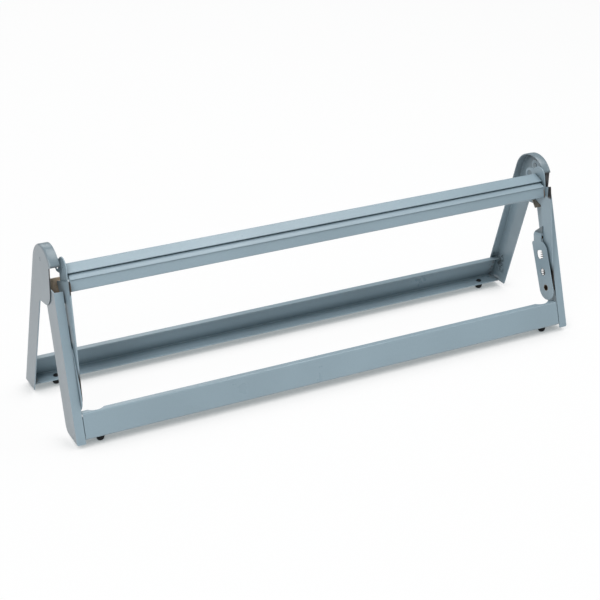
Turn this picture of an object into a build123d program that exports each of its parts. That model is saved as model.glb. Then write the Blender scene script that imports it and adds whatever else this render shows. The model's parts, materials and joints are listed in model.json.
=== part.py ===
from build123d import *
import math
import os

os.makedirs("parts", exist_ok=True)

# Counter-top gift wrap dispenser and cutter: two A-shaped ends of pressed sheet,
# a front and a rear rail, and a sprung cutter bar on two long arms.
# X runs along the roll, -Y is the customer's side, Z is up, 0 is the counter top.

# ---- driving dimensions, in millimetres ----
LENGTH = 820.0            # over the two end plates
SHEET = 1.6               # end frames, rails and bar
BEND = 0.9                # inside radius of every bend
LEG_Z = 6.0               # leg bottoms above the counter

HEAD_Z = 221.0            # centre of the rounded head
REAR_LEAN = 16.1          # degrees from upright
REAR_BASE_Y = 102.5       # rear edge of the rear leg at its bottom
REAR_LEG_WIDTH = 38.0     # level width of the rear leg
RIM_DEPTH = 14.6          # rims and front flanges, in from the end plate
RIM_END_ANGLE = 151.0     # where the rim stops, from +Y over the top
LOBE_FRONT_Y = -29.7      # front edge of the head plate
LOBE_DROP = 45.0          # bottom of the head plate below the head's centre
LOBE_RADIUS = 24.0

FRONT_LEAN = 18.4
FRONT_BASE_Y = -108.0     # front face of the front leg at its bottom
FRONT_LEG_WIDTH = 43.0
FLANGE_DROP = 15.0        # top of the front flange below the head's centre
HEEL_RADIUS = 16.0
WEB_RISE = 27.0           # top of the front web above the head's centre
STOP_WIDTH = 20.0         # inward tab that the cutter arm comes to rest on
STOP_HEIGHT = 28.0
STOP_RISE = 3.0           # above the arm's rear corner
STOP_CLEARANCE = 0.3
RIVET_AT = (4.0, 17.7)    # joins head plate and front leg, from the head's centre
RIVET_DIAMETER = 5.0
RIVET_HEAD = 9.0

RAIL_BOTTOM_Z = 10.4
FRONT_RAIL_TOP_Z = 45.6
REAR_RAIL_TOP_Z = 48.0
FRONT_LIP = 8.5           # top flanges
REAR_LIP = 10.0
FOOT_FLANGE = 28.0        # lower flanges, which carry the feet
SEAM = 0.9                # front rail to leg flange
RAIL_CLEARANCE = 2.5      # rear rail's end to the bend of the leg
WELD_TAB = 12.0           # rail tab behind the leg flange, each way from the seam
NOTCH_INSET = 20.0        # scallops in the front lip, inboard of the arms
NOTCH_RADIUS = 16.0
NOTCH_DEPTH = 5.0

FOOT_END = 40.0           # foot centre from the end plate
FRONT_FOOT_INSET = 12.5   # foot centre behind the fold of its rail
REAR_FOOT_INSET = 17.0
FOOT_DIAMETER = 14.5
FOOT_HOLE = 6.4
FOOT_STEM = 5.8
FOOT_BULB = 8.4

PIVOT_INSET = 12.7        # cutter hinge behind the front face
PIVOT_Z = 64.0
PIVOT_DIAMETER = 10.0
PIVOT_BORE = 8.4
PIVOT_PLAY = 0.2          # end play of the cutter on its pivots
SPACER_DIAMETER = 14.0
RUN_FIT = 0.05            # radial clearance on the pivot
ARM_THICKNESS = 2.0
ARM_WIDTH = 25.0
ARM_REAR = 9.5            # rear edge below the step, from the pivot
ARM_STEP = 90.0           # along the arm
ARM_LEAN = 10.5
ARM_LENGTH = 164.0        # pivot to top edge
FLARE_DROP = 33.5         # start of the spread top, below the top edge
FLARE_WIDTH = 27.0        # how far the top spreads to the rear
FLARE_TIP_DROP = 10.0     # the top edge falls to the rear
FLARE_KNEE_RISE = 9.0

STAY_WASHER = 0.4         # between left arm and stay plate
STAY_WIDTH = 35.0
STAY_HEEL = 2.2           # centre of the round bottom below the pivot
STAY_LEAN = 23.0
STAY_LENGTH = 75.0        # pivot to shoulder
STAY_SHOULDER = 16.0      # rounding of the front shoulder
STAY_CORNER = 4.0
STAY_SLOT_AT = (1.5, 53.0)
STAY_SLOT = (16.0, 14.0)
STAY_SLOT_ROUND = 5.0
STAY_HOLE_AT = (1.5, 25.0)
STAY_HOLE = 12.0
TONGUE_REAR = 28.0        # across the arm
TONGUE_WIDTH = 19.0
TONGUE_TOP = 82.0         # along the arm
STRAP_LOW = 88.0          # the strap's upper edge rises from here to the arm
STRAP_HIGH = 98.0

LOBE_AT = (14.0, 13.5)    # across, and beyond the arm's top edge
BRACKET_RADIUS = 15.0
EAR_AT = (38.0, 13.0)
EAR_RADIUS = 10.0
EAR_HOLE = 13.0
BRACKET_LAP = 16.0        # lap on the arm
BRACKET_HOLE_AT = (13.0, 12.5)
BRACKET_HOLE = 3.6
BRACKET_TAB = 17.0        # inward tab under the bar
TAB_FRONT = 24.0          # along the bar's slope
TAB_REAR = 4.5

BAR_END_GAP = 1.0
BAR_AT = (22.4, 17.1)       # rear fold of the cover, as LOBE_AT
BAR_TILT = 18.4             # degrees, down to the front
BAR_WIDTH = 20.6            # cover, front to back
BAR_GAP = 2.9               # between the cover and the sheet below
BAR_LEDGE = 8.4             # how far the ledge stands past the cover's lip
FACE_HEIGHT = 18.0
FACE_LEAN = 15.9            # degrees from upright
FACE_RETURN = 6.0
BACK_DROP = 9.0
BLADE_THICKNESS = 1.0
BLADE_REACH = 1.6           # how far the edge stands past the fold
BLADE_START = 5.0

LUG_ALONG = 78.0          # moving post, along the arm
POST_DIAMETER = 3.4
POST_CLEARANCE = 0.25
POST_TO_ARM = 3.45        # right fixed post's loop to the arm
POST_TO_STAY = 2.3        # left fixed post to the stay plate
SPRING_CLEARANCE = 0.35   # to the arm's rear edge
SPRING_SIDE = 1.1         # to the stay plate
FLANGE_CLEARANCE = 0.4    # to the leg's flange
WIRE = 1.1
COILS = 14
COIL_LENGTH = 49.0
HOOK_TURN = 240           # degrees of loop round each post
LEAD_RISE = 3.4           # from the coil into the straight lead

# ---- worked out ----
HALF = LENGTH / 2
WEB_X = HALF - SHEET              # inside of the end plate, outside of the front leg
LEG_IN_X = WEB_X - SHEET          # inside of the front leg's web
RIM_X = HALF - RIM_DEPTH          # inboard edge of rim and flanges
FRONT_SLOPE = math.tan(math.radians(FRONT_LEAN))
REAR_SLOPE = math.tan(math.radians(REAR_LEAN))
REAR_COS = math.cos(math.radians(REAR_LEAN))
FRONT_COS = math.cos(math.radians(FRONT_LEAN))
HEAD_RADIUS = (REAR_BASE_Y - REAR_SLOPE * (HEAD_Z - LEG_Z)) * REAR_COS
FRONT_SHEET = SHEET / FRONT_COS   # sheet thickness measured level
REAR_SHEET = SHEET / REAR_COS
COIL_RADIUS = POST_DIAMETER / 2 + POST_CLEARANCE + WIRE / 2
POST_REACH = COIL_RADIUS + WIRE / 2
ARM_X = RIM_X - FLANGE_CLEARANCE - SHEET - STAY_WASHER - ARM_THICKNESS / 2
RIGHT_SPRING_X = RIM_X - FLANGE_CLEARANCE - POST_REACH
# the right spring runs between the leg's flange and the stay plate
STAY_GAP = ARM_X - ARM_THICKNESS / 2 - (RIGHT_SPRING_X - POST_REACH - SPRING_SIDE)
LUG_ACROSS = ARM_REAR + SPRING_CLEARANCE + POST_REACH
BRACKET_X = ARM_X - ARM_THICKNESS / 2 - SHEET   # inboard face of the bracket
BAR_END_X = BRACKET_X - BAR_END_GAP
SHELF_DEPTH = SHEET + BAR_GAP                   # top of the sheet the blade lies on
FLARE_TIP = (ARM_WIDTH / 2 + FLARE_WIDTH, ARM_LENGTH - FLARE_TIP_DROP)
FLARE_KNEE = (ARM_WIDTH / 2 + FLARE_WIDTH * 2 / 3, ARM_LENGTH - FLARE_DROP + FLARE_KNEE_RISE)


def front_y(z):
    """Front face of the front frame at height z."""
    return FRONT_BASE_Y + FRONT_SLOPE * (z - LEG_Z)


def rear_y(z):
    """Rear face of the rear frame at height z."""
    return REAR_BASE_Y - REAR_SLOPE * (z - LEG_Z)


PIVOT_Y = front_y(PIVOT_Z) + PIVOT_INSET
RIGHT_POST_Y = PIVOT_Y + ARM_REAR + POST_REACH + POST_TO_ARM
LEFT_POST_Y = PIVOT_Y + STAY_WIDTH / 2 + POST_DIAMETER / 2 + POST_TO_STAY
FRONT_FOOT_Y = front_y(RAIL_BOTTOM_Z) + FRONT_FOOT_INSET
REAR_FOOT_Y = rear_y(RAIL_BOTTOM_Z) - REAR_SHEET - REAR_FOOT_INSET
FOOT_X = HALF - FOOT_END


def side_plane(x):
    """Plane across the object at x: its own x is +Y and its own y is +Z."""
    return Plane(origin=(x, 0, 0), x_dir=(0, 1, 0), z_dir=(1, 0, 0))


def arm_plane(x, lean):
    """Side plane at x with its origin on the pivot, leaning back by lean degrees."""
    tilt = math.radians(lean)
    across = (0, math.cos(tilt), -math.sin(tilt))
    return Plane(origin=(x, PIVOT_Y, PIVOT_Z), x_dir=across, z_dir=(1, 0, 0))


def on_arm(across, along):
    """(Y, Z) of a point given across and along the arm."""
    tilt = math.radians(ARM_LEAN)
    y = PIVOT_Y + across * math.cos(tilt) + along * math.sin(tilt)
    z = PIVOT_Z - across * math.sin(tilt) + along * math.cos(tilt)
    return (y, z)


def past_arm(at):
    """(across, along) of a place given from the arm's top edge."""
    return (at[0], ARM_LENGTH + at[1])


def on_bar(forward, depth):
    """(Y, Z) of a point down the cover's slope and below its top face."""
    rear = on_arm(*past_arm(BAR_AT))
    tilt = math.radians(BAR_TILT)
    y = rear[0] - forward * math.cos(tilt) + depth * math.sin(tilt)
    z = rear[1] - forward * math.sin(tilt) - depth * math.cos(tilt)
    return (y, z)


def stop_front(z):
    """Front of the stop tab at height z: it lies along the arm's rear edge."""
    knee = on_arm(*FLARE_KNEE)
    tip = on_arm(*FLARE_TIP)
    slope = (tip[0] - knee[0]) / (tip[1] - knee[1])
    return (tip[0] + STOP_CLEARANCE + slope * (z - tip[1]), z)


def on_head(radius, angle):
    """(Y, Z) of a point at radius and angle round the head."""
    turn = math.radians(angle)
    return (radius * math.cos(turn), HEAD_Z + radius * math.sin(turn))


def save(piece, name):
    piece.label = name
    export_step(piece, f"parts/{name}.step")


# ---- rear frame: each end is one pressing, leg and head together ----
def rear_leg(side):
    low = LEG_Z - 10
    inner = HEAD_RADIUS - SHEET
    with BuildPart() as pocket:
        with BuildSketch(side_plane(side * WEB_X)):
            with BuildLine():
                foot = (rear_y(low) - REAR_SHEET, low)
                rim_end = on_head(inner, RIM_END_ANGLE)
                out = on_head(HEAD_RADIUS + 10, RIM_END_ANGLE)
                Line(foot, on_head(inner, REAR_LEAN))
                RadiusArc(on_head(inner, REAR_LEAN), rim_end, -inner)
                Polyline(rim_end, out, (FRONT_BASE_Y, low), foot)
            make_face()
        extrude(amount=-side * RIM_DEPTH)
        web_face = pocket.faces().sort_by(Axis.X)[-1 if side > 0 else 0]
        arc = web_face.edges().filter_by(GeomType.CIRCLE)
        fillet(arc + web_face.edges().sort_by(Axis.Y)[-1:], BEND)
    with BuildPart() as leg:
        with BuildSketch(side_plane(side * HALF)) as outline:
            with BuildLine():
                foot = (rear_y(LEG_Z), LEG_Z)
                rim_end = on_head(HEAD_RADIUS, RIM_END_ANGLE)
                lobe_z = HEAD_Z - LOBE_DROP
                lobe = (LOBE_FRONT_Y, lobe_z + 3)
                joint = (rear_y(lobe_z) - REAR_LEG_WIDTH, lobe_z - 3)
                Line(foot, on_head(HEAD_RADIUS, REAR_LEAN))
                RadiusArc(on_head(HEAD_RADIUS, REAR_LEAN), rim_end, -HEAD_RADIUS)
                Polyline(rim_end, (LOBE_FRONT_Y, rim_end[1] - SHEET), lobe, joint)
                Polyline(joint, (foot[0] - REAR_LEG_WIDTH, LEG_Z), foot)
            make_face()
            fillet(outline.vertices().sort_by_distance(lobe)[0], LOBE_RADIUS)
            fillet(outline.vertices().sort_by_distance(joint)[0], 3)
        extrude(amount=-side * RIM_DEPTH)
        web_face = leg.faces().sort_by(Axis.X)[-1 if side > 0 else 0]
        back = web_face.edges().sort_by(Axis.Y)[-1:]
        top = web_face.edges().filter_by(GeomType.CIRCLE).sort_by(Axis.Z)[-1:]
        fillet(back + top, BEND + SHEET)
        add(pocket.part, mode=Mode.SUBTRACT)
        with BuildSketch(side_plane(side * HALF)):
            with Locations((RIVET_AT[0], HEAD_Z + RIVET_AT[1])):
                Circle(RIVET_DIAMETER / 2)
        extrude(amount=-side * SHEET, mode=Mode.SUBTRACT)
    return leg.part


# ---- front frame: web and front flange, with the stop for the cutter arm ----
def front_leg(side):
    low = LEG_Z - 10
    web_top_y = LOBE_FRONT_Y + 4
    with BuildPart() as pocket:
        with BuildSketch(side_plane(side * LEG_IN_X)):
            with BuildLine():
                foot = (front_y(low) + FRONT_SHEET, low)
                high = HEAD_Z + HEAD_RADIUS
                top = (front_y(high) + FRONT_SHEET, high)
                Polyline(foot, top, (REAR_BASE_Y, high), (REAR_BASE_Y, low), foot)
            make_face()
        extrude(amount=-side * RIM_DEPTH)
        web_face = pocket.faces().sort_by(Axis.X)[-1 if side > 0 else 0]
        fillet(web_face.edges().sort_by(Axis.Y)[0], BEND)
    with BuildPart() as leg:
        with BuildSketch(side_plane(side * WEB_X)) as outline:
            with BuildLine():
                toe = (front_y(LEG_Z), LEG_Z)
                flange_z = HEAD_Z - FLANGE_DROP
                top_z = HEAD_Z + WEB_RISE
                shoulder = (front_y(flange_z), flange_z)
                heel = (front_y(LEG_Z) + FRONT_LEG_WIDTH, LEG_Z)
                back = (front_y(flange_z) + FRONT_LEG_WIDTH, flange_z)
                inner = (web_top_y, flange_z)
                Polyline(toe, shoulder, inner, (web_top_y + 8, top_z), (back[0] + 14, top_z), back)
                Polyline(back, heel, toe)
            make_face()
            fillet(outline.vertices().sort_by_distance(heel)[0], HEEL_RADIUS)
            fillet(outline.vertices().sort_by(Axis.Y)[-2:], 8)
        extrude(amount=-side * (RIM_DEPTH - SHEET))
        web_face = leg.faces().sort_by(Axis.X)[-1 if side > 0 else 0]
        fillet(web_face.edges().sort_by(Axis.Y)[0], BEND + SHEET)
        add(pocket.part, mode=Mode.SUBTRACT)
        with BuildSketch(side_plane(side * WEB_X)):
            with Locations((RIVET_AT[0], HEAD_Z + RIVET_AT[1])):
                Circle(RIVET_DIAMETER / 2)
        extrude(amount=-side * SHEET, mode=Mode.SUBTRACT)
        # stop tab, folded inwards behind the arm
        with BuildSketch(side_plane(side * LEG_IN_X)):
            with BuildLine():
                stop_z = on_arm(*FLARE_TIP)[1] + STOP_RISE
                stop_low = stop_front(stop_z - STOP_HEIGHT)
                stop_high = stop_front(stop_z)
                behind = (stop_high[0] + FRONT_SHEET, stop_high[1])
                below = (stop_low[0] + FRONT_SHEET, stop_low[1])
                Polyline(stop_low, stop_high, behind, below, stop_low)
            make_face()
        extrude(amount=-side * STOP_WIDTH)
    return leg.part


def rim_rivet(side):
    """Flush rivet through the head plate and the top of the front leg's web."""
    with BuildPart() as rivet:
        with BuildSketch(side_plane(side * HALF)):
            with Locations((RIVET_AT[0], HEAD_Z + RIVET_AT[1])):
                Circle(RIVET_DIAMETER / 2)
        extrude(amount=-side * 2 * SHEET)
        with BuildSketch(side_plane(side * LEG_IN_X)):
            with Locations((RIVET_AT[0], HEAD_Z + RIVET_AT[1])):
                Circle(RIVET_HEAD / 2)
        extrude(amount=-side * SHEET / 2)
        outer_face = rivet.faces().sort_by(Axis.X)[-1 if side > 0 else 0]
        chamfer(outer_face.edges(), RIVET_DIAMETER / 8)
    return rivet.part


# ---- rails: long channels that join the two ends and carry the feet ----
with BuildPart() as front_rail:
    half_length = RIM_X - SEAM
    with BuildSketch(side_plane(-half_length)):
        top = (front_y(FRONT_RAIL_TOP_Z), FRONT_RAIL_TOP_Z)
        bottom = (front_y(RAIL_BOTTOM_Z), RAIL_BOTTOM_Z)
        lip_end = (top[0] + FRONT_LIP, top[1])
        toe = (bottom[0] + FOOT_FLANGE, bottom[1])
        with BuildLine():
            FilletPolyline(lip_end, top, bottom, toe, radius=BEND + SHEET)
            offset(amount=SHEET, side=Side.LEFT)
        make_face()
    extrude(amount=2 * half_length)
    # scallops in the top flange, beside the arms
    with BuildSketch(Plane.XY.offset(FRONT_RAIL_TOP_Z - 2 * SHEET)):
        notch_x = ARM_X - NOTCH_INSET
        with Locations((-notch_x, lip_end[0]), (notch_x, lip_end[0])):
            with Locations((0, NOTCH_RADIUS - NOTCH_DEPTH)):
                Circle(NOTCH_RADIUS)
    extrude(amount=3 * SHEET, mode=Mode.SUBTRACT)
    # tabs welded behind the leg flanges
    for end in (-1, 1):
        with BuildSketch(side_plane(end * (RIM_X - WELD_TAB))):
            with BuildLine():
                low = (bottom[0] + 2, bottom[1] + 4 * BEND + SHEET)
                low_y = front_y(low[1]) + FRONT_SHEET
                high_z = top[1] - 4 * BEND - SHEET
                high_y = front_y(high_z) + FRONT_SHEET
                Polyline(
                    (low_y, low[1]),
                    (high_y, high_z),
                    (high_y + FRONT_SHEET, high_z),
                    (low_y + FRONT_SHEET, low[1]),
                    close=True,
                )
            make_face()
        extrude(amount=end * (2 * WELD_TAB - 5))
    with Locations((0, FRONT_FOOT_Y, RAIL_BOTTOM_Z)):
        with Locations((-FOOT_X, 0, 0), (FOOT_X, 0, 0)):
            Hole(FOOT_HOLE / 2, depth=3 * SHEET)


with BuildPart() as rear_rail:
    half_length = WEB_X - BEND - RAIL_CLEARANCE
    with BuildSketch(side_plane(-half_length)):
        top = (rear_y(REAR_RAIL_TOP_Z) - REAR_SHEET, REAR_RAIL_TOP_Z)
        bottom = (rear_y(RAIL_BOTTOM_Z) - REAR_SHEET, RAIL_BOTTOM_Z)
        lip_end = (top[0] - REAR_LIP, top[1])
        toe = (bottom[0] - FOOT_FLANGE, bottom[1])
        with BuildLine():
            FilletPolyline(lip_end, top, bottom, toe, radius=BEND + SHEET)
            offset(amount=SHEET, side=Side.RIGHT)
        make_face()
    extrude(amount=2 * half_length)
    with Locations((0, REAR_FOOT_Y, RAIL_BOTTOM_Z)):
        with Locations((-FOOT_X, 0, 0), (FOOT_X, 0, 0)):
            Hole(FOOT_HOLE / 2, depth=3 * SHEET)


# ---- feet: rubber buttons pulled through the rails' lower flanges ----
def foot(x, y):
    above = (Align.CENTER, Align.CENTER, Align.MIN)
    with BuildPart() as button:
        with Locations((x, y, 0)):
            Cylinder(FOOT_DIAMETER / 2, RAIL_BOTTOM_Z, align=above)
        fillet(button.edges(), FOOT_DIAMETER / 10)
        with Locations((x, y, RAIL_BOTTOM_Z)):
            Cylinder(FOOT_STEM / 2, SHEET, align=above)
        with Locations((x, y, RAIL_BOTTOM_Z + SHEET)):
            Cone(FOOT_BULB / 2, FOOT_STEM / 4, FOOT_STEM / 2, align=above)
    return button.part


# ---- cutter arms ----
def cutter_arm(x):
    half_width = ARM_WIDTH / 2
    with BuildPart() as arm:
        with BuildSketch(arm_plane(x - ARM_THICKNESS / 2, ARM_LEAN)) as outline:
            with BuildLine():
                Polyline(
                    (-half_width, -ARM_REAR),
                    (-half_width, ARM_LENGTH),
                    FLARE_TIP,
                    FLARE_KNEE,
                    (half_width, ARM_LENGTH - FLARE_DROP),
                    (half_width, ARM_STEP),
                    (ARM_REAR, ARM_STEP),
                    (ARM_REAR, -ARM_REAR),
                    close=True,
                )
            make_face()
            fillet(outline.vertices().sort_by_distance(FLARE_KNEE)[0], 4)
            fillet(outline.vertices().sort_by_distance(FLARE_TIP)[0], 2)
            fillet(outline.vertices().group_by(Axis.Y)[0], ARM_REAR - 0.5)
            Circle(PIVOT_DIAMETER / 2 + RUN_FIT, mode=Mode.SUBTRACT)
        extrude(amount=ARM_THICKNESS)
    return arm.part


def arm_stay(x, gap):
    """Stiffening plate beside the arm at x: pivots with it, a strap joins it at the top."""
    plate_x = x - ARM_THICKNESS / 2 - gap - SHEET
    with BuildPart() as stay:
        with BuildSketch(arm_plane(plate_x, STAY_LEAN)) as outline:
            with Locations((0, (STAY_LENGTH - STAY_HEEL) / 2)):
                Rectangle(STAY_WIDTH, STAY_LENGTH + STAY_HEEL)
            front, rear = outline.vertices().group_by(Axis.Y)[-1].sort_by(Axis.X)
            fillet(front, STAY_SHOULDER)
            fillet(outline.vertices().sort_by_distance(rear)[0], STAY_CORNER)
            with Locations((0, -STAY_HEEL)):
                Circle(STAY_WIDTH / 2)
        extrude(amount=SHEET)
        # strap, folded outboard onto the arm
        edge = arm_plane(x, ARM_LEAN).from_local_coords((TONGUE_REAR, 0, 0))
        along = math.radians(ARM_LEAN)
        rearwards = (0, -math.cos(along), math.sin(along))
        with BuildSketch(Plane(origin=edge, x_dir=(1, 0, 0), z_dir=rearwards)):
            near = -ARM_THICKNESS / 2 - gap - SHEET
            with BuildLine():
                FilletPolyline(
                    (near, STAY_SLOT_AT[1] + STAY_SLOT[1] / 2 + 2 * SHEET),
                    (near, TONGUE_TOP),
                    (near + gap, TONGUE_TOP + 2 * gap),
                    (near + gap, STRAP_HIGH + STAY_CORNER),
                    radius=BEND,
                )
                offset(amount=SHEET, side=Side.RIGHT)
            make_face()
        extrude(amount=TONGUE_WIDTH)
        # the strap's upper edge slants up to the arm
        with BuildSketch(arm_plane(plate_x, ARM_LEAN)):
            with BuildLine():
                tongue_front = TONGUE_REAR - TONGUE_WIDTH
                Polyline(
                    (TONGUE_REAR + 1, STRAP_LOW - STAY_CORNER),
                    (TONGUE_REAR - STAY_CORNER / 2, STRAP_LOW),
                    (tongue_front - 1, STRAP_HIGH),
                    (tongue_front - 1, STRAP_HIGH + 2 * STAY_CORNER),
                    (TONGUE_REAR + 1, STRAP_HIGH + 2 * STAY_CORNER),
                    close=True,
                )
            make_face()
        extrude(amount=gap + SHEET, mode=Mode.SUBTRACT)
        with BuildSketch(arm_plane(plate_x, STAY_LEAN)):
            Circle(PIVOT_DIAMETER / 2 + RUN_FIT)
            with Locations(STAY_HOLE_AT):
                Circle(STAY_HOLE / 2)
            with Locations(STAY_SLOT_AT):
                RectangleRounded(*STAY_SLOT, STAY_SLOT_ROUND)
        extrude(amount=SHEET, mode=Mode.SUBTRACT)
    return stay.part


# ---- brackets: join the arms to the bar ----
def bar_bracket(side):
    with BuildPart() as bracket:
        with BuildSketch(arm_plane(side * BRACKET_X, ARM_LEAN)):
            with Locations((0, ARM_LENGTH)):
                with Locations(LOBE_AT):
                    Circle(BRACKET_RADIUS)
                with Locations((LOBE_AT[0], (LOBE_AT[1] - BRACKET_LAP) / 2)):
                    Rectangle(2 * BRACKET_RADIUS, LOBE_AT[1] + BRACKET_LAP)
                with Locations(((LOBE_AT[0] + EAR_AT[0]) / 2, EAR_AT[1])):
                    Rectangle(EAR_AT[0] - LOBE_AT[0], 2 * EAR_RADIUS)
                with Locations(EAR_AT):
                    Circle(EAR_RADIUS)
                    Circle(EAR_HOLE / 2, mode=Mode.SUBTRACT)
                with Locations(BRACKET_HOLE_AT):
                    Circle(BRACKET_HOLE / 2, mode=Mode.SUBTRACT)
        extrude(amount=side * SHEET)
        # tab folded inboard, under the sheet that carries the blade
        with BuildSketch(side_plane(side * BRACKET_X)):
            with BuildLine():
                tab_top = SHELF_DEPTH + SHEET
                Polyline(
                    on_bar(TAB_REAR, tab_top),
                    on_bar(TAB_FRONT, tab_top),
                    on_bar(TAB_FRONT, tab_top + SHEET),
                    on_bar(TAB_REAR, tab_top + SHEET),
                    close=True,
                )
            make_face()
        extrude(amount=-side * BRACKET_TAB)
    return bracket.part


# ---- bar: folded sheet, blade on its ledge, cover over the blade ----
with BuildPart() as tear_bar:
    with BuildSketch(side_plane(-BAR_END_X)):
        back_edge = on_bar(SHEET, BACK_DROP + SHEET)
        back_fold = on_bar(SHEET, SHELF_DEPTH)
        fold = on_bar(BAR_WIDTH + BAR_LEDGE, SHELF_DEPTH)
        face_tilt = math.radians(FACE_LEAN)
        face_foot = (
            fold[0] - FACE_HEIGHT * math.sin(face_tilt),
            fold[1] - FACE_HEIGHT * math.cos(face_tilt),
        )
        face_end = (face_foot[0] + FACE_RETURN, face_foot[1])
        with BuildLine():
            FilletPolyline(
                back_edge, back_fold, fold, face_foot, face_end, radius=BEND + SHEET
            )
            offset(amount=SHEET, side=Side.LEFT)
        make_face()
    extrude(amount=2 * BAR_END_X)

with BuildPart() as cutter_blade:
    with BuildSketch(side_plane(-BAR_END_X + SHEET)):
        edge_at = BAR_WIDTH + BAR_LEDGE + BLADE_REACH
        with BuildLine():
            Polyline(
                on_bar(BLADE_START, SHELF_DEPTH),
                on_bar(edge_at, SHELF_DEPTH),
                on_bar(edge_at, SHELF_DEPTH - BLADE_THICKNESS / 4),
                on_bar(edge_at - 2 * BLADE_THICKNESS, SHELF_DEPTH - BLADE_THICKNESS),
                on_bar(BLADE_START, SHELF_DEPTH - BLADE_THICKNESS),
                close=True,
            )
        make_face()
    extrude(amount=2 * (BAR_END_X - SHEET))

with BuildPart() as blade_cover:
    with BuildSketch(side_plane(-BAR_END_X)):
        with BuildLine():
            FilletPolyline(
                on_bar(BAR_WIDTH, 0), on_bar(0, 0), on_bar(0, BACK_DROP), radius=BEND + SHEET
            )
            offset(amount=SHEET, side=Side.RIGHT)
        make_face()
    extrude(amount=2 * BAR_END_X)


# ---- pivots ----
def tube(start_x, end_x, outer, inner):
    """Round bush on the pivot from start_x to end_x."""
    with BuildPart() as bush:
        with BuildSketch(arm_plane(start_x, 0)):
            Circle(outer / 2)
            Circle(inner / 2, mode=Mode.SUBTRACT)
        extrude(amount=end_x - start_x)
    return bush.part


def pivot_stud(web_x, end_x):
    """Tubular stud from the leg's web to just past the cutter."""
    reach = math.copysign(PIVOT_PLAY, end_x - web_x)
    with BuildPart() as stud:
        with BuildSketch(arm_plane(web_x, 0)):
            Circle(PIVOT_DIAMETER / 2)
            Circle(PIVOT_BORE / 2, mode=Mode.SUBTRACT)
        extrude(amount=end_x + reach - web_x)
    return stud.part


# ---- springs and the posts that hold them ----
def post(y, z, start_x, end_x):
    with BuildPart() as pin:
        with BuildSketch(Plane(origin=(start_x, y, z), x_dir=(0, 1, 0), z_dir=(1, 0, 0))):
            Circle(POST_DIAMETER / 2)
        extrude(amount=end_x - start_x)
        tip = pin.faces().sort_by_distance((end_x, y, z))[0]
        chamfer(tip.edges(), POST_DIAMETER / 10)
    return pin.part


def least_gap(path, turn_length):
    """Least clearance of the wire from itself, on points along its centre line."""
    count = 1200
    points = [path.position_at(i / count) for i in range(count + 1)]
    skip = math.ceil(turn_length / 2 / (path.length / count))
    closest = path.length
    for i, here in enumerate(points):
        for there in points[i + skip :]:
            closest = min(closest, (here - there).length)
    return closest - WIRE


def arm_spring(x, post_y):
    """Tension spring at x, hooked on both posts."""
    low = Vector(x, post_y, PIVOT_Z)
    high = Vector(x, *on_arm(LUG_ACROSS, LUG_ALONG))
    span = high - low
    up = span.normalized()
    out = Vector(1, 0, 0)
    back = out.cross(up)
    pitch = COIL_LENGTH / COILS
    first = (span.length - COIL_LENGTH) / 2

    def on_coil(turn):
        """Point and heading of the wire after so many turns."""
        angle = 2 * math.pi * turn
        radial = back * math.sin(angle) - out * math.cos(angle)
        round_it = back * math.cos(angle) + out * math.sin(angle)
        point = low + up * (first + pitch * turn) + radial * COIL_RADIUS
        return point, (round_it * 2 * math.pi * COIL_RADIUS + up * pitch).normalized()

    def on_hook(centre, side, degrees):
        """Point and heading on the loop round a post, which meets its lead at 0."""
        angle = math.radians(degrees)
        radial = back * math.cos(angle) + up * math.sin(angle)
        forward = up * math.cos(angle) - back * math.sin(angle)
        if side < 0:
            radial = up * math.sin(angle) - back * math.cos(angle)
            forward = up * math.cos(angle) + back * math.sin(angle)
        return centre + radial * COIL_RADIUS, forward

    stops = [
        on_hook(low, -1, -HOOK_TURN),
        on_hook(low, -1, -HOOK_TURN / 2),
        on_hook(low, -1, 0),
        (low + up * (first - LEAD_RISE) - back * COIL_RADIUS, up),
        *[on_coil(half_turn / 2) for half_turn in range(2 * COILS + 1)],
        (high - up * (first - LEAD_RISE) + back * COIL_RADIUS, up),
        on_hook(high, 1, 0),
        on_hook(high, 1, HOOK_TURN / 2),
        on_hook(high, 1, HOOK_TURN),
    ]
    with BuildPart() as spring:
        with BuildLine() as path:
            for (start, leaving), (end, arriving) in zip(stops, stops[1:]):
                chord = end - start
                both = leaving + arriving
                a = 2 * (leaving.dot(arriving) - 1)
                b = -2 * chord.dot(both)
                c = chord.dot(chord)
                if chord.cross(leaving).length < 1e-6:
                    Line(start, end)
                else:
                    reach = (-b - math.sqrt(b * b - 4 * a * c)) / (2 * a)
                    corner = start + leaving * reach
                    other = end - arriving * reach
                    middle = (corner + other) / 2
                    TangentArc(start, middle, tangent=leaving)
                    TangentArc(middle, end, tangent=(other - corner).normalized())
        with BuildSketch(Plane(origin=stops[0][0], z_dir=stops[0][1])):
            Circle(WIRE / 2)
        sweep(path=path.wires()[0])
    gap = least_gap(path.wires()[0], 2 * math.pi * COIL_RADIUS)
    print(f"spring at x {x}: least gap of the wire to itself {gap:.2f} mm")
    return spring.part


# ---- every piece in its place ----
save(front_rail.part, "front_rail")
save(rear_rail.part, "rear_rail")
save(tear_bar.part, "tear_bar")
save(cutter_blade.part, "cutter_blade")
save(blade_cover.part, "blade_cover")

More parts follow.
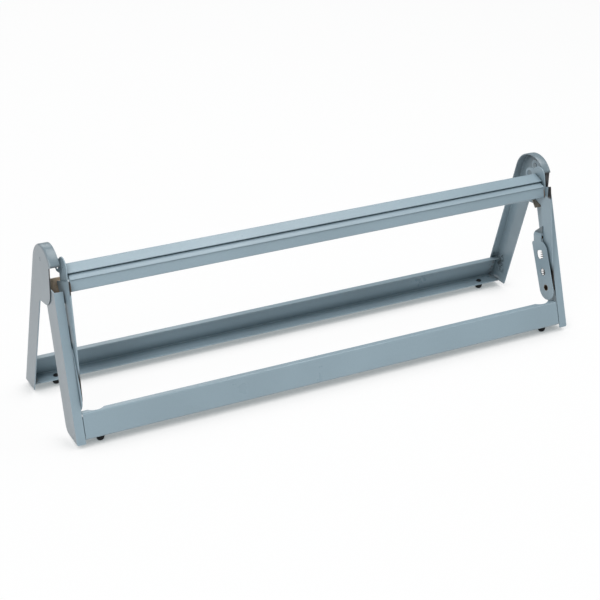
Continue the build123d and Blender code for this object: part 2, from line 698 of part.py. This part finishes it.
for side, end in ((-1, "left"), (1, "right")):
    web_x = side * LEG_IN_X
    arm_x = side * ARM_X
    arm_faces = (arm_x - ARM_THICKNESS / 2, arm_x + ARM_THICKNESS / 2)
    # the stay is on the same side of both arms: inboard on the right, outboard on the left
    stay_gap = STAY_GAP if side > 0 else STAY_WASHER
    stay_faces = (arm_faces[0] - stay_gap - SHEET, arm_faces[0] - stay_gap)
    inner_face = stay_faces[0] if side > 0 else arm_faces[1]
    outer_face = arm_faces[1] if side > 0 else stay_faces[0]
    post_y = RIGHT_POST_Y if side > 0 else LEFT_POST_Y
    spring_x = stay_faces[1] + SPRING_SIDE + POST_REACH

    save(rear_leg(side), f"{end}_rear_leg")
    save(front_leg(side), f"{end}_front_leg")
    save(rim_rivet(side), f"{end}_head_rivet")
    save(foot(side * FOOT_X, FRONT_FOOT_Y), f"front_{end}_foot")
    save(foot(side * FOOT_X, REAR_FOOT_Y), f"rear_{end}_foot")
    save(cutter_arm(arm_x), f"{end}_cutter_arm")
    save(arm_stay(arm_x, stay_gap), f"{end}_arm_stay")
    save(bar_bracket(side), f"{end}_bar_bracket")

    save(pivot_stud(web_x, inner_face), f"{end}_pivot_stud")
    outer_bush = tube(web_x, outer_face + side * PIVOT_PLAY, SPACER_DIAMETER, PIVOT_DIAMETER)
    save(outer_bush, f"{end}_pivot_spacer")
    bore = PIVOT_DIAMETER + 2 * RUN_FIT
    inner_bush = tube(stay_faces[1], arm_faces[0], SPACER_DIAMETER, bore)
    save(inner_bush, f"{end}_arm_spacer")

    fixed_post = post(post_y, PIVOT_Z, web_x, spring_x - side * POST_REACH)
    save(fixed_post, f"{end}_frame_spring_post")
    lug = on_arm(LUG_ACROSS, LUG_ALONG)
    arm_post = post(*lug, stay_faces[1], spring_x + POST_REACH)
    save(arm_post, f"{end}_arm_spring_post")
    save(arm_spring(spring_x, post_y), f"{end}_spring")
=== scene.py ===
"""Finishes, springs, feet and studio for a gift wrap paper cutter, around its solids.

Lengths are metres in the object's own frame: X along the bar, Y to the rear, Z up.
"""
import json
import math

import bmesh
import bpy
from mathutils import Matrix, Vector

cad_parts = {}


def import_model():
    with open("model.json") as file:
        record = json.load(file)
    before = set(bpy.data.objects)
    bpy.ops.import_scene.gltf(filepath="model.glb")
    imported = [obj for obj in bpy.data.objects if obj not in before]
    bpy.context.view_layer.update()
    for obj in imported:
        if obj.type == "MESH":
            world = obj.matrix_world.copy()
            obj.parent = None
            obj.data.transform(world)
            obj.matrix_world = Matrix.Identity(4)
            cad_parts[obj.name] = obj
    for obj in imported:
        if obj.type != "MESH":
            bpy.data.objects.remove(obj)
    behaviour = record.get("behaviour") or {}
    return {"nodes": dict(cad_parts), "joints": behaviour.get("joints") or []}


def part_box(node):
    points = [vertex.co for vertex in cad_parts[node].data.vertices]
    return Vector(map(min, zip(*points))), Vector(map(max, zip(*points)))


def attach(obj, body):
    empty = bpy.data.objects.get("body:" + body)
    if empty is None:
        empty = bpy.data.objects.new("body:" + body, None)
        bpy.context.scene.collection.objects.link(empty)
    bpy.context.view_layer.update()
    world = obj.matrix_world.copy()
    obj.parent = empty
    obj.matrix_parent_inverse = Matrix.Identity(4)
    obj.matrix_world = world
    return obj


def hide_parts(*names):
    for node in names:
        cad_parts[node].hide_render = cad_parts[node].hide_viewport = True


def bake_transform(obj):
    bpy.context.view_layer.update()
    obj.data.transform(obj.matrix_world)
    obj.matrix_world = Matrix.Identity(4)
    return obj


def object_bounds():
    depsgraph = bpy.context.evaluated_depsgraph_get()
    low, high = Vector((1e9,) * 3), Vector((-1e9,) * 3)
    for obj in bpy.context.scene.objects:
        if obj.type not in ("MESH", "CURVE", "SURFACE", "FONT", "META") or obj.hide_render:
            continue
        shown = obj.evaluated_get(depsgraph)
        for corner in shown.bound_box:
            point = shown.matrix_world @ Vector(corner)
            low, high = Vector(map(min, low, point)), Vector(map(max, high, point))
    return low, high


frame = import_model()
nodes = frame["nodes"]
size_before = [list(corner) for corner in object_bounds()]

ENDS = ("left", "right")


def srgb(r, g, b):
    """Linear colour of an 8-bit screen colour."""
    out = []
    for v in (r, g, b):
        v /= 255
        out.append(v / 12.92 if v <= 0.04045 else ((v + 0.055) / 1.055) ** 2.4)
    return tuple(out)


# ---------------------------------------------------------------- colours
PAINT = srgb(143, 161, 171)
PAINT_OUTWARD_LIT = srgb(134, 144, 151)     # painted light: the ends' outer faces greyer and warmer, as if a warm light fell on them
RUBBED = srgb(120, 118, 112)
# near black, for painted shade and for scorching at the welds
SHADE_AND_SCORCH_DARK = srgb(34, 27, 22)
RAW_STEEL = srgb(150, 140, 128)
RAW_STEEL_WARM = srgb(128, 104, 78)
SPRING_STEEL = srgb(70, 70, 72)
SHEARED_EDGE = srgb(112, 84, 60)
SCORCH_DARK = srgb(48, 42, 40)
SCORCH_BROWN = srgb(132, 106, 80)
TAB_BROWN = srgb(108, 86, 62)
TAB_TAN = srgb(150, 128, 102)
TAB_PALE = srgb(176, 154, 130)
RUBBER_DARK = (0.006, 0.006, 0.007)
RUBBER_PALE = (0.015, 0.015, 0.016)

# ---------------------------------------------------------------- places of the marks and the painted shade
FAR = 1.0                               # beyond the object, for masks open on one side
HALF = max(size_before[1][0], -size_before[0][0])
SWING = next(joint for joint in frame["joints"] if joint["name"] == "cutter_swing")
PIVOT_Y, PIVOT_Z = SWING["pos_m"][1:]
ARM_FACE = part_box("right_cutter_arm")[0][0]     # the arms' faces that look inwards
BAR_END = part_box("tear_bar")[1][0]
RAIL_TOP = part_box("rear_rail")[1][2]
RAIL_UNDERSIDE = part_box("front_rail")[0][2]

FRONT_SLOPE = 0.3327                    # lean of the front legs, back per metre of height
FLANGE_BACK = -0.102                    # Y where their flanges end, at the counter's level
TAB_LOW, TAB_HIGH = 0.1828, 0.2112      # Z of the stop tab's fold and of its upper edge
TAB_OUTER = HALF - 0.0034               # the tab ends at the front leg's web
RAIL_WELD_INNER = HALF - 0.017
RAIL_WELD_HIGH = RAIL_TOP + 0.022
LEG_SCORCH_Y = (0.066, 0.0905)
LEG_SCORCH_Z = (0.020, RAIL_TOP + 0.014)
HEAD_LOW = 0.196                        # Z where the rear legs widen into their heads
LOBE_REAR, LOBE_HIGH = -0.008, 0.243    # the part of a head that lies over the front leg
# painted shade round each pivot reaches this far
PIVOT_SHADE_RADIUS = 0.044
ARM_SCORCH_SHADE_LOW, ARM_SCORCH_SHADE_REAR = 0.207, -0.0535    # the upper front of each arm: scorching, and painted shade
STRAP_INNER, STRAP_OUTER = ARM_FACE - 0.0031, ARM_FACE - 0.0001
SHEARED_FROM = BAR_END - 0.0018
LEDGE = 0.222                           # Z of the bar's ledge

# ---------------------------------------------------------------- strength of the painted shade and scorching
HEAD_SHADE = 0.36
LOBE_SHADE = 0.62
DARKEST = 0.92
STRAP_SHADE = 0.55


# ---------------------------------------------------------------- material nodes
FACING = 0.2                            # least X times the normal's X on an outward face
FINE_BUMP = 0.0002
AO_SAMPLES = 6


class Nodes:
    """A material's node tree, built up piece by piece."""

    def __init__(self, name):
        self.material = bpy.data.materials.new(name)
        self.material.use_nodes = True
        self.tree = self.material.node_tree
        self.tree.nodes.clear()
        self.out = self.add("ShaderNodeOutputMaterial")
        self.shader = self.add("ShaderNodeBsdfPrincipled")
        self.link(self.shader.outputs[0], self.out.inputs["Surface"])
        self.coords = self.add("ShaderNodeTexCoord").outputs["Object"]

    def add(self, kind, **values):
        node = self.tree.nodes.new(kind)
        for key, value in values.items():
            setattr(node, key, value)
        return node

    def link(self, a, b):
        self.tree.links.new(a, b)

    def noise(self, scale, detail=4.0, rough=0.55, stretch=None):
        node = self.add("ShaderNodeTexNoise")
        node.inputs["Scale"].default_value = scale
        node.inputs["Detail"].default_value = detail
        node.inputs["Roughness"].default_value = rough
        source = self.coords
        if stretch:
            mapping = self.add("ShaderNodeMapping")
            mapping.inputs["Scale"].default_value = stretch
            self.link(source, mapping.inputs["Vector"])
            source = mapping.outputs["Vector"]
        self.link(source, node.inputs["Vector"])
        return node.outputs["Fac"]

    def ramp(self, source, stops):
        """A colour ramp of (place, colour or grey level) stops."""
        node = self.add("ShaderNodeValToRGB")
        ramp = node.color_ramp
        while len(ramp.elements) < len(stops):
            ramp.elements.new(0.5)
        for element, (at, colour) in zip(ramp.elements, stops):
            element.position = at
            if isinstance(colour, (int, float)):
                colour = (colour, colour, colour)
            element.color = (*colour, 1.0)
        self.link(source, node.inputs["Fac"])
        return node.outputs["Color"]

    def mix(self, factor, a, b, blend_type="MIX"):
        node = self.add("ShaderNodeMix", data_type="RGBA", blend_type=blend_type)
        for value, socket in ((factor, 0), (a, 6), (b, 7)):
            if isinstance(value, bpy.types.NodeSocket):
                self.link(value, node.inputs[socket])
            elif socket == 0:
                node.inputs[0].default_value = value
            else:
                node.inputs[socket].default_value = (*value, 1.0)
        return node.outputs[2]

    def tinted(self, a, b):
        """One colour multiplied by another."""
        return self.mix(1.0, a, b, "MULTIPLY")

    def maths(self, operation, a, b=0.0):
        node = self.add("ShaderNodeMath", operation=operation)
        for value, socket in zip((a, b), node.inputs):
            if isinstance(value, bpy.types.NodeSocket):
                self.link(value, socket)
            else:
                socket.default_value = value
        return node.outputs[0]

    def product(self, *values):
        result = values[0]
        for other in values[1:]:
            result = self.maths("MULTIPLY", result, other)
        return result

    def axis(self, letter):
        split = self.add("ShaderNodeSeparateXYZ")
        self.link(self.coords, split.inputs[0])
        return split.outputs[letter]

    def across(self):
        """Distance from the middle of the object along X."""
        return self.maths("ABSOLUTE", self.axis("X"))

    def between(self, value, low, high, soft=0.0001):
        """1 where a value lies from low to high, fading out over soft inside both limits."""
        rise = self.maths("DIVIDE", self.maths("SUBTRACT", value, low), soft)
        fall = self.maths("DIVIDE", self.maths("SUBTRACT", high, value), soft)
        inside = self.maths("MINIMUM", self.maths("MINIMUM", rise, fall), 1.0)
        return self.maths("MAXIMUM", inside, 0.0)

    def over(self, value, low, soft=0.0001):
        return self.between(value, low, FAR, soft)

    def under(self, value, high, soft=0.0001):
        return self.between(value, -FAR, high, soft)

    def facing_out(self):
        """1 on faces that look away from the middle of the object along X."""
        split = self.add("ShaderNodeSeparateXYZ")
        self.link(self.add("ShaderNodeNewGeometry").outputs["Normal"], split.inputs[0])
        outward = self.product(split.outputs["X"], self.axis("X"))
        return self.maths("GREATER_THAN", outward, FACING)

    def facing_in(self):
        return self.maths("SUBTRACT", 1.0, self.facing_out())

    def corners(self, reach, darkest):
        """Painted shade: darker and bluer where other surfaces come within reach, as seams and
        hollows are in shade.
        """
        node = self.add("ShaderNodeAmbientOcclusion", samples=AO_SAMPLES)
        node.inputs["Distance"].default_value = reach
        deep = (0.86 * darkest, darkest, 1.04 * darkest)
        return self.ramp(node.outputs["AO"], [(0.15, deep), (0.75, 1.0)])

    def bump(self, height, strength):
        node = self.add("ShaderNodeBump")
        node.inputs["Strength"].default_value = strength
        node.inputs["Distance"].default_value = FINE_BUMP
        self.link(height, node.inputs["Height"])
        self.link(node.outputs["Normal"], self.shader.inputs["Normal"])

    def feed(self, **sources):
        """Link sources to the shader's inputs, named with _ for a space."""
        for key, source in sources.items():
            self.link(source, self.shader.inputs[key.replace("_", " ")])

    def set(self, **values):
        """Set constants on the shader's own inputs, named with _ for a space."""
        for key, value in values.items():
            self.shader.inputs[key.replace("_", " ")].default_value = value


# ---------------------------------------------------------------- marks in the paint, and painted shade
def stop_tab(m):
    """The tab behind each arm was never painted. On the left one the bare steel darkens with
    painted shade from pale at its top to near black at its fold; the right one is plain bare
    steel.
    """
    lean = m.product(m.axis("Z"), FRONT_SLOPE)
    behind = m.maths("GREATER_THAN", m.maths("SUBTRACT", m.axis("Y"), lean), FLANGE_BACK)
    mask = m.product(m.under(m.across(), TAB_OUTER), behind, m.over(m.axis("Z"), TAB_LOW))
    up = m.maths("DIVIDE", m.maths("SUBTRACT", m.axis("Z"), TAB_LOW), TAB_HIGH - TAB_LOW)
    tab_light_and_shade = m.ramp(up, [(0.25, SHADE_AND_SCORCH_DARK), (0.45, TAB_BROWN), (0.70, TAB_TAN), (1.0, TAB_PALE)])
    lines = m.noise(scale=500.0, detail=2.0, rough=0.6, stretch=(0.3, 1.0, 3.0))
    left_tone = m.tinted(tab_light_and_shade, m.ramp(lines, [(0.3, 0.8), (0.7, 1.08)]))
    on_right = m.maths("GREATER_THAN", m.axis("X"), 0.0)
    return mask, m.mix(on_right, left_tone, RAW_STEEL)


def weld_marks(m):
    """Brown and black scorching where the rear rail is welded into the ends."""
    near = m.between(m.across(), RAIL_WELD_INNER, HALF, soft=0.010)
    low = m.under(m.axis("Z"), RAIL_WELD_HIGH, soft=0.010)
    speckle = m.ramp(m.noise(scale=210.0, detail=5.0, rough=0.7), [(0.50, 0.0), (0.60, 0.9)])
    tone = m.ramp(m.noise(scale=260.0, detail=3.0), [(0.40, SCORCH_DARK), (0.60, SCORCH_BROWN)])
    return m.product(near, speckle, low), tone


def leg_shade(m):
    """Painted shade inside the heads, deepest on the part of each head over the front leg, and
    the legs scorched by the rear rail's welds.
    """
    head = m.over(m.axis("Z"), HEAD_LOW, soft=0.012)
    lobe = m.product(
        m.under(m.axis("Y"), LOBE_REAR, soft=0.010),
        m.under(m.axis("Z"), LOBE_HIGH, soft=0.004),
    )
    head_painted_shade = m.maths("ADD", m.product(head, HEAD_SHADE), m.product(lobe, LOBE_SHADE))
    scorched = m.product(
        m.between(m.axis("Z"), *LEG_SCORCH_Z, soft=0.008),
        m.between(m.axis("Y"), *LEG_SCORCH_Y, soft=0.006),
        m.ramp(m.noise(scale=170.0, detail=5.0, rough=0.7), [(0.46, 0.0), (0.58, 0.8)]),
    )
    dark = m.maths("MINIMUM", m.maths("MAXIMUM", head_painted_shade, scorched), DARKEST)
    return m.product(m.facing_in(), dark), SHADE_AND_SCORCH_DARK


def arm_shade_and_scorch(m):
    """Painted shade round the pivot, and in front of the bar's welded bracket scorching
    darkened as deep as the shade there.
    """
    off_y = m.maths("SUBTRACT", m.axis("Y"), PIVOT_Y)
    off_z = m.maths("SUBTRACT", m.axis("Z"), PIVOT_Z)
    squares = m.maths("ADD", m.product(off_y, off_y), m.product(off_z, off_z))
    pivot_painted_shade = m.under(m.maths("SQRT", squares), PIVOT_SHADE_RADIUS, soft=0.014)
    weld = m.product(
        m.over(m.axis("Z"), ARM_SCORCH_SHADE_LOW, soft=0.003),
        m.under(m.axis("Y"), ARM_SCORCH_SHADE_REAR, soft=0.002),
        m.facing_in(),
    )
    return m.maths("MAXIMUM", pivot_painted_shade, weld), SHADE_AND_SCORCH_DARK


def step_shade(m):
    """Painted shade on the strap that steps the stay plate over to its arm."""
    strap = m.between(m.across(), STRAP_INNER, STRAP_OUTER, soft=0.0002)
    return m.product(strap, STRAP_SHADE), SHADE_AND_SCORCH_DARK


def bar_ends(m):
    """The bar's sheared ends are bare and brown below the ledge."""
    ends = m.over(m.across(), SHEARED_FROM, soft=0.0004)
    return m.product(ends, m.under(m.axis("Z"), LEDGE, soft=0.003)), SHEARED_EDGE


# ---------------------------------------------------------------- materials
def enamel(name, outward_lit_colour=None, marks=None):
    """Stoved enamel on steel: fine orange peel, soft mottling, rubbed spots, and painted shade
    in seams and hollows.

    The second argument, if given, colours the faces that look away along X: painted light, a
    greyer and warmer tone as if a warm light fell on them. marks(m) gives a mask and the colour
    that shows there instead of the paint.
    """
    m = Nodes(name)
    colour = m.mix(m.facing_out(), PAINT, outward_lit_colour) if outward_lit_colour else PAINT
    mottling = m.ramp(m.noise(scale=5.0, detail=3.0), [(0.35, 0.95), (0.68, 1.04)])
    grain = m.ramp(m.noise(scale=420.0, detail=2.0), [(0.3, 0.985), (0.7, 1.015)])
    tone = m.tinted(m.tinted(colour, mottling), grain)
    spots = m.ramp(m.noise(scale=60.0, detail=6.0, rough=0.7), [(0.70, 0.0), (0.80, 0.35)])
    tone = m.mix(spots, tone, RUBBED)
    if marks:
        mask, under = marks(m)
        tone = m.mix(mask, tone, under)
    # painted shade in seams and hollows, close and wide
    tone = m.tinted(tone, m.corners(reach=0.004, darkest=0.45))
    tone = m.tinted(tone, m.corners(reach=0.020, darkest=0.40))
    gloss = m.ramp(m.noise(scale=18.0, detail=5.0, rough=0.6), [(0.3, 0.27), (0.7, 0.36)])
    m.feed(Base_Color=tone, Roughness=gloss)
    m.bump(m.noise(scale=900.0, detail=2.0), strength=0.10)
    m.set(Coat_Weight=0.12, Coat_Roughness=0.25, Specular_IOR_Level=0.5)
    return m.material


def steel(name, colour, roughness, stretch, warm=None):
    """Bare steel with drawn or ground lines, and patches of a warmer colour."""
    m = Nodes(name)
    lines = m.noise(scale=300.0, detail=3.0, rough=0.6, stretch=stretch)
    darker = tuple(c * 0.8 for c in colour)
    lighter = tuple(c * 1.1 for c in colour)
    tone = m.ramp(lines, [(0.3, darker), (0.7, lighter)])
    if warm:
        patches = m.ramp(m.noise(scale=90.0), [(0.42, 0.0), (0.62, 1.0)])
        tone = m.mix(patches, tone, warm)
    gloss = m.ramp(lines, [(0.2, roughness * 0.8), (0.8, roughness * 1.25)])
    m.feed(Base_Color=tone, Roughness=gloss)
    m.bump(lines, strength=0.08)
    m.set(Metallic=1.0)
    return m.material


def rubber(name):
    """Dull black rubber with a fine grain."""
    m = Nodes(name)
    tone = m.ramp(m.noise(scale=150.0), [(0.3, RUBBER_DARK), (0.7, RUBBER_PALE)])
    gloss = m.ramp(m.noise(scale=60.0), [(0.3, 0.62), (0.7, 0.8)])
    m.feed(Base_Color=tone, Roughness=gloss)
    m.bump(m.noise(scale=1200.0, detail=3.0), strength=0.25)
    m.set(Specular_IOR_Level=0.25)
    return m.material


paint = enamel("enamel_blue_grey")
rear_leg_paint = enamel("enamel_rear_legs", PAINT_OUTWARD_LIT, leg_shade)
bare_steel = steel("bare_steel", RAW_STEEL, 0.42, (1.0, 1.0, 8.0), RAW_STEEL_WARM)
foot_rubber = rubber("black_rubber")

# the finish of the nodes whose names end so; the rest are painted
FINISHES = {
    "_foot": foot_rubber,
    "_spring": steel("spring_wire", SPRING_STEEL, 0.34, (1.0, 1.0, 1.0)),
    "_spring_post": bare_steel,
    "_pivot_stud": bare_steel,
    "_spacer": bare_steel,
    "_front_leg": enamel("enamel_front_legs", PAINT_OUTWARD_LIT, stop_tab),
    "_rear_leg": rear_leg_paint,
    "_rivet": rear_leg_paint,
    "rear_rail": enamel("enamel_rear_rail", marks=weld_marks),
    "_cutter_arm": enamel("enamel_arms", marks=arm_shade_and_scorch),
    "_arm_stay": enamel("enamel_stays", marks=step_shade),
    "tear_bar": enamel("enamel_bar", marks=bar_ends),
}


def finish_for(name):
    for ending, material in FINISHES.items():
        if name.endswith(ending):
            return material
    return paint


for name, node in nodes.items():
    node.data.materials.clear()
    node.data.materials.append(finish_for(name))


def spring_wire(end):
    """A copy of the spring's own mesh, set in place and shown instead of the spring part."""
    wire = bpy.data.objects.new(f"{end}_spring_wire", nodes[f"{end}_spring"].data.copy())
    bpy.context.scene.collection.objects.link(wire)
    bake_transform(wire)
    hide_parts(f"{end}_spring")


for end in ENDS:
    spring_wire(end)


# ---------------------------------------------------------------- feet
FOOT_RADIUS = 0.0061
FOOT_RIM = 0.0004           # rounding under the flange
FOOT_STEM = 0.0029
FOOT_BULB = 0.0042
BULB_HEIGHT = 0.0029
SOLE_EDGE = 0.0030          # how far in the sole's rounding reaches
SOLE_START = 0.7            # and how far up, as a share of the foot's height
RECESS_RADIUS = 0.0016
RECESS_DEPTH = 0.0005
RECESS_TAPER = 0.0002
FOOT_SIDES = 40
CREASE = math.radians(40)


def arc(centre, reach, start, stop, steps):
    """Points of an elliptical arc, as (radius, height), between two angles in degrees."""
    points = []
    for i in range(steps + 1):
        angle = math.radians(start + (stop - start) * i / steps)
        radius = centre[0] + reach[0] * math.cos(angle)
        points.append((radius, centre[1] + reach[1] * math.sin(angle)))
    return points


def ring(work, place, radius, height):
    """A circle of vertices about a place, or the same one many times on the axis itself."""
    if radius == 0.0:
        return [work.verts.new((*place, height))] * FOOT_SIDES
    around = []
    for i in range(FOOT_SIDES):
        angle = 2 * math.pi * i / FOOT_SIDES
        x = place[0] + radius * math.cos(angle)
        y = place[1] + radius * math.sin(angle)
        around.append(work.verts.new((x, y, height)))
    return around


def spun(name, outline, place):
    """A closed mesh turned about a vertical axis from an outline that starts and ends on it."""
    work = bmesh.new()
    rings = [ring(work, place, radius, height) for radius, height in outline]
    for upper, lower in zip(rings, rings[1:]):
        for i in range(FOOT_SIDES):
            j = (i + 1) % FOOT_SIDES
            quad = (upper[i], lower[i], lower[j], upper[j])
            work.faces.new(list(dict.fromkeys(quad)))
    mesh = bpy.data.meshes.new(name)
    work.to_mesh(mesh)
    work.free()
    mesh.polygons.foreach_set("use_smooth", [True] * len(mesh.polygons))
    mesh.set_sharp_from_angle(angle=CREASE)
    piece = bpy.data.objects.new(name, mesh)
    bpy.context.scene.collection.objects.link(piece)
    return piece


def rubber_foot(name):
    """A push-in rubber button: bulb above the flange, rounded body with a hollow sole below."""
    low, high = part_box(name)
    place = ((low[0] + high[0]) / 2, (low[1] + high[1]) / 2)
    seat = RAIL_UNDERSIDE
    neck = high[2] - BULB_HEIGHT
    sole = seat * SOLE_START
    outline = [(0.0, high[2])]
    outline += arc((0.0, neck), (FOOT_BULB, BULB_HEIGHT), 90, 0, 8)[1:]
    outline += [(FOOT_STEM, neck), (FOOT_STEM, seat)]
    outline += arc((FOOT_RADIUS - FOOT_RIM, seat - FOOT_RIM), (FOOT_RIM, FOOT_RIM), 90, 0, 3)
    outline += arc((FOOT_RADIUS - SOLE_EDGE, sole), (SOLE_EDGE, sole), 0, -90, 8)
    outline += [(RECESS_RADIUS, 0.0), (RECESS_RADIUS - RECESS_TAPER, RECESS_DEPTH)]
    outline += [(0.0, RECESS_DEPTH)]
    piece = spun(f"{name}_rubber", outline, place)
    piece.data.materials.append(foot_rubber)
    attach(piece, "frame")
    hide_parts(name)


for name in nodes:
    if name.endswith("_foot"):
        rubber_foot(name)


# ---------------------------------------------------------------- soft edges
SOFT_EDGE = 0.00025
SAME_POINT = 0.000004
EDGE_ANGLE = math.radians(35)
TURNED_PIECES = ("_foot", "_spring", "_stud", "_spacer", "_post", "_rivet")


def soften(node):
    """A small round on the cut edges of a sheet piece, so that they catch the light."""
    weld = node.modifiers.new("weld", "WELD")
    weld.merge_threshold = SAME_POINT
    bevel = node.modifiers.new("edges", "BEVEL")
    bevel.width = SOFT_EDGE
    bevel.segments = 2
    bevel.limit_method = "ANGLE"
    bevel.angle_limit = EDGE_ANGLE
    bevel.harden_normals = False


for name, node in nodes.items():
    if not name.endswith(TURNED_PIECES):
        soften(node)


# ---------------------------------------------------------------- floor, light and background
FLOOR_HALF = 6.0
FLOOR_DROP = 0.0002
FLOOR_WHITE = 0.93          # share of white glow, with a painted contact shadow, in the floor as the camera sees it
SKY = (0.86, 0.97, 1.0, 1.0)
SKY_STRENGTH = 0.23
WHITE = (1.0, 1.0, 1.0, 1.0)

# name, place, target, width and height, watts
LIGHTS = (
    ("key", (-1.8, -1.6, 2.4), (0.0, 0.0, 0.1), (1.5, 1.5), 64),
    ("top", (0.8, 0.2, 2.5), (0.1, 0.0, 0.1), (2.0, 1.4), 33),
    ("front", (0.2, -2.6, 1.0), (0.0, 0.0, 0.1), (1.6, 1.0), 4),
    ("back", (0.0, 2.2, 1.6), (0.0, 0.0, 0.1), (1.8, 1.2), 13),
    ("right", (2.2, -0.6, 1.3), (0.0, 0.0, 0.1), (1.2, 1.2), 9),
)


def floor_paper():
    """Pale paper. Seen directly it is mostly a white glow with a painted contact shadow round
    the object; the rest is its lit surface, which keeps the object's real shadow.
    """
    m = Nodes("floor_paper")
    m.feed(Base_Color=m.ramp(m.noise(scale=3.0, detail=2.0), [(0.3, 0.80), (0.7, 0.82)]))
    m.set(Roughness=0.9, Specular_IOR_Level=0.1)
    white_glow_painted_shadow = m.add("ShaderNodeEmission")
    # painted shadow: the glow darkens where the object comes near
    m.link(m.corners(reach=0.06, darkest=0.25), white_glow_painted_shadow.inputs["Color"])
    white_glow_painted_shadow.inputs["Strength"].default_value = 1.0
    path = m.add("ShaderNodeLightPath")
    seen = m.maths("MAXIMUM", path.outputs["Is Camera Ray"], path.outputs["Is Glossy Ray"])
    mixer = m.add("ShaderNodeMixShader")
    m.link(m.product(seen, FLOOR_WHITE), mixer.inputs[0])
    m.link(m.shader.outputs[0], mixer.inputs[1])
    m.link(white_glow_painted_shadow.outputs[0], mixer.inputs[2])
    m.link(mixer.outputs[0], m.out.inputs["Surface"])
    return m.material


def floor():
    mesh = bpy.data.meshes.new("floor")
    work = bmesh.new()
    for x, y in ((-1, -1), (1, -1), (1, 1), (-1, 1)):
        work.verts.new((x * FLOOR_HALF, y * FLOOR_HALF, -FLOOR_DROP))
    work.faces.new(work.verts)
    work.to_mesh(mesh)
    work.free()
    obj = bpy.data.objects.new("floor", mesh)
    bpy.context.scene.collection.objects.link(obj)
    obj.data.materials.append(floor_paper())


def world():
    """A faint blue sky that lights the object, which the camera sees as plain white."""
    studio = bpy.data.worlds.new("studio")
    studio.use_nodes = True
    tree = studio.node_tree
    tree.nodes.clear()
    out = tree.nodes.new("ShaderNodeOutputWorld")
    path = tree.nodes.new("ShaderNodeLightPath")
    mixer = tree.nodes.new("ShaderNodeMixShader")
    tree.links.new(path.outputs["Is Camera Ray"], mixer.inputs[0])
    for i, (colour, strength) in enumerate(((SKY, SKY_STRENGTH), (WHITE, 1.0)), start=1):
        background = tree.nodes.new("ShaderNodeBackground")
        background.inputs["Color"].default_value = colour
        background.inputs["Strength"].default_value = strength
        tree.links.new(background.outputs[0], mixer.inputs[i])
    tree.links.new(mixer.outputs[0], out.inputs["Surface"])
    bpy.context.scene.world = studio


def area_light(name, place, target, size, power):
    data = bpy.data.lights.new(name, "AREA")
    data.shape = "RECTANGLE"
    data.size, data.size_y = size
    data.energy = power
    lamp = bpy.data.objects.new(name, data)
    lamp.location = place
    aim = Vector(target) - Vector(place)
    lamp.rotation_euler = aim.to_track_quat("-Z", "Y").to_euler()
    bpy.context.scene.collection.objects.link(lamp)


# ---------------------------------------------------------------- camera
IMAGE_SIDE = 600.0          # pixels
IMAGE_CENTRE = (293.24, 228.23)
FOCAL_LENGTH = 1549.05      # pixels
SENSOR_WIDTH = 36.0         # millimetres
CAMERA_PLACE = (-1.0035, -1.8337, 1.1095)
AZIMUTH, ELEVATION, ROLL = -0.4899, 0.4071, 0.0161      # radians


def camera():
    """The photograph's view, from the camera fitted to its edges."""
    ahead = Vector(
        (
            -math.sin(AZIMUTH) * math.cos(ELEVATION),
            math.cos(AZIMUTH) * math.cos(ELEVATION),
            -math.sin(ELEVATION),
        )
    )
    level_right = Vector((math.cos(AZIMUTH), math.sin(AZIMUTH), 0.0))
    level_up = level_right.cross(ahead)
    right = level_right * math.cos(ROLL) + level_up * math.sin(ROLL)
    up = level_up * math.cos(ROLL) - level_right * math.sin(ROLL)
    data = bpy.data.cameras.new("camera")
    data.sensor_fit = "HORIZONTAL"
    data.sensor_width = SENSOR_WIDTH
    data.lens = FOCAL_LENGTH / IMAGE_SIDE * SENSOR_WIDTH
    data.shift_x = (IMAGE_SIDE / 2 - IMAGE_CENTRE[0]) / IMAGE_SIDE
    data.shift_y = (IMAGE_CENTRE[1] - IMAGE_SIDE / 2) / IMAGE_SIDE
    data.clip_start, data.clip_end = 0.1, 30.0
    cam = bpy.data.objects.new("camera", data)
    turn = Matrix((right, up, -ahead)).transposed().to_4x4()
    cam.matrix_world = Matrix.Translation(CAMERA_PLACE) @ turn
    bpy.context.scene.collection.objects.link(cam)
    bpy.context.scene.camera = cam


floor()
world()
camera()
for light in LIGHTS:
    area_light(*light)
bpy.context.scene.view_settings.view_transform = "Standard"
